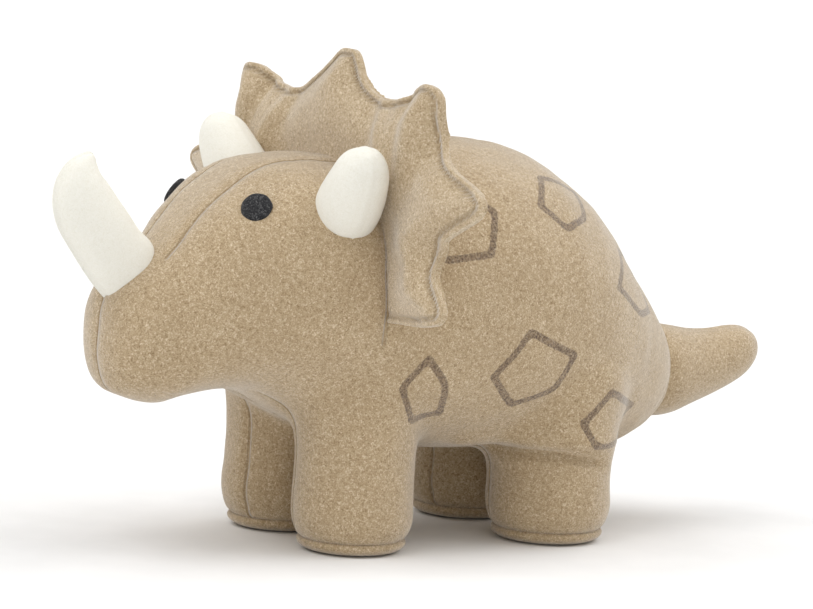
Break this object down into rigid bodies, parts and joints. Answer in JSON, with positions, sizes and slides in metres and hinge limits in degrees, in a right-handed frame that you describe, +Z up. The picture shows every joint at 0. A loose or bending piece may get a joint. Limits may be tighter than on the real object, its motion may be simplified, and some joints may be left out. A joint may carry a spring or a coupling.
{
  "type": "stuffed dinosaur",
  "caption": "Stuffed toy of a three-horned dinosaur in heathered felted cloth, standing on stubby legs, with a fan-shaped neck frill, felt horns and a cone tail.",
  "frame": {"origin": "on the surface that the toy stands on, under the middle of its bounding box", "axes": "the toy faces -Y with its tail towards +Y, its left side is +X, and +Z is up"},
  "size_m": [0.1952, 0.3034, 0.1741],
  "materials": {
    "body_felt": "heathered tan felted cloth",
    "horn_felt": "brushed off-white felt",
    "eye_felt": "black felt",
    "fibre_fill": "loose polyester fibre",
    "batting": "flat polyester batting",
    "thread": "sewing thread"
  },
  "bodies": {
    "torso": {"side_panel_left": "body_felt", "side_panel_right": "body_felt", "head_gusset": "body_felt", "belly_panel_left": "body_felt", "belly_panel_right": "body_felt", "sole_front_left": "body_felt", "sole_front_right": "body_felt", "sole_rear_left": "body_felt", "sole_rear_right": "body_felt", "eye_left": "eye_felt", "eye_right": "eye_felt", "body_stuffing": "fibre_fill", "leg_stuffing_front_left": "fibre_fill", "leg_stuffing_front_right": "fibre_fill", "leg_stuffing_rear_left": "fibre_fill", "leg_stuffing_rear_right": "fibre_fill", "closing_stitches": "thread"},
    "tail": {"tail_cover_left": "body_felt", "tail_cover_right": "body_felt", "tail_stuffing": "fibre_fill"},
    "frill": {"frill_front_panel": "body_felt", "frill_back_panel": "body_felt", "frill_batting": "batting"},
    "nose_horn": {"nose_horn_left": "horn_felt", "nose_horn_right": "horn_felt", "nose_horn_stuffing": "fibre_fill"},
    "brow_horn_left": {"brow_horn_left_front": "horn_felt", "brow_horn_left_rear": "horn_felt", "brow_horn_left_stuffing": "fibre_fill"},
    "brow_horn_right": {"brow_horn_right_front": "horn_felt", "brow_horn_right_rear": "horn_felt", "brow_horn_right_stuffing": "fibre_fill"}
  },
  "joints": [
    {"name": "tail_wag", "type": "hinge", "parent": "torso", "child": "tail", "pos_m": [0, 0.098, 0.057], "axis": [0, 0, 1], "range_deg": [-15, 15], "stiffness_Nm_per_rad": 0.04},
    {"name": "frill_tilt", "type": "hinge", "parent": "torso", "child": "frill", "pos_m": [0, -0.0425, 0.1385], "axis": [1, 0, 0], "range_deg": [-6, 6], "stiffness_Nm_per_rad": 0.08},
    {"name": "nose_horn_bend", "type": "hinge", "parent": "torso", "child": "nose_horn", "pos_m": [0, -0.12325, 0.1], "axis": [1, 0, 0], "range_deg": [-10, 10], "stiffness_Nm_per_rad": 0.03},
    {"name": "brow_horn_left_bend", "type": "hinge", "parent": "torso", "child": "brow_horn_left", "pos_m": [0.037, -0.061, 0.1205], "axis": [0, 1, 0], "range_deg": [-10, 10], "stiffness_Nm_per_rad": 0.02},
    {"name": "brow_horn_right_bend", "type": "hinge", "parent": "torso", "child": "brow_horn_right", "pos_m": [-0.037, -0.061, 0.1205], "axis": [0, 1, 0], "range_deg": [-10, 10], "stiffness_Nm_per_rad": 0.02}
  ]
}
